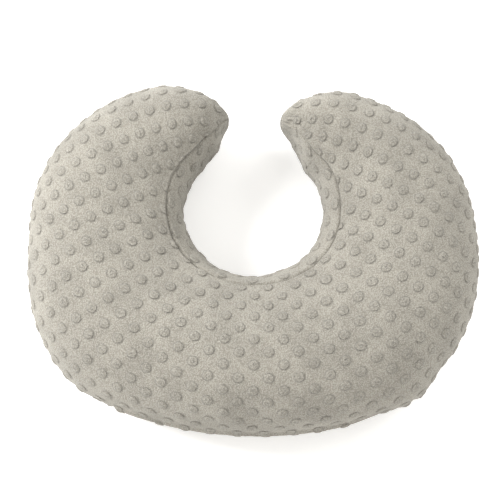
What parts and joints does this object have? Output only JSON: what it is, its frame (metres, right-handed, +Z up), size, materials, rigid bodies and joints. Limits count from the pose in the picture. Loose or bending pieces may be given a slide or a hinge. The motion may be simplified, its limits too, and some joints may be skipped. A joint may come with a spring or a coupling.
{
  "type": "nursing pillow",
  "caption": "C-shaped stuffed nursing pillow with a round waist opening, in a zipped cover of raised-dot plush over an inner pillow.",
  "frame": {"origin": "on the surface that the pillow lies on, at the centre of its width and depth", "axes": "+X to the wearer's side along the width, +Y from the closed front towards the open ends of the arms, +Z up"},
  "size_m": [0.5082, 0.397, 0.13],
  "materials": {
    "plush_cover": "short plush pile with raised dots",
    "cover_thread": "matt polyester sewing thread",
    "zip_tape": "woven tape",
    "zip_teeth": "moulded nylon",
    "zip_metal": "satin painted",
    "casing_cotton": "plain woven cotton",
    "casing_thread": "matt polyester sewing thread",
    "label_ribbon": "blank satin ribbon",
    "polyester_fibre": "loose crimped fibre"
  },
  "bodies": {
    "pillow": {"cover_top_panel": "plush_cover", "cover_bottom_panel": "plush_cover", "cover_inner_gusset": "plush_cover", "cover_upper_gusset_thread": "cover_thread", "cover_lower_gusset_thread": "cover_thread", "cover_left_seam_thread": "cover_thread", "cover_right_seam_thread": "cover_thread", "cover_care_label": "label_ribbon", "zip_upper_tape": "zip_tape", "zip_lower_tape": "zip_tape", "zip_upper_teeth": "zip_teeth", "zip_lower_teeth": "zip_teeth", "zip_upper_end_stop": "zip_metal", "zip_lower_end_stop": "zip_metal", "zip_joining_stop": "zip_metal", "zip_upper_tape_thread": "cover_thread", "zip_lower_tape_thread": "cover_thread", "pillow_casing_top": "casing_cotton", "pillow_casing_bottom": "casing_cotton", "pillow_casing_gusset": "casing_cotton", "pillow_upper_gusset_thread": "casing_thread", "pillow_lower_gusset_thread": "casing_thread", "pillow_label": "label_ribbon", "fibre_filling": "polyester_fibre"},
    "slider": {"zip_slider": "zip_metal"},
    "pull": {"zip_pull_tab": "zip_metal"}
  },
  "joints": [
    {"name": "zip_slider_travel", "type": "hinge", "parent": "pillow", "child": "slider", "pos_m": [0, 0.22719, 0], "axis": [0, 0, 1], "range_deg": [0, 39]},
    {"name": "pull_tab_swing", "type": "hinge", "parent": "slider", "child": "pull", "pos_m": [-0.14225, -0.17427, 0.0437], "axis": [0.0634, 0.1789, -0.9818], "range_deg": [0, 165]}
  ]
}
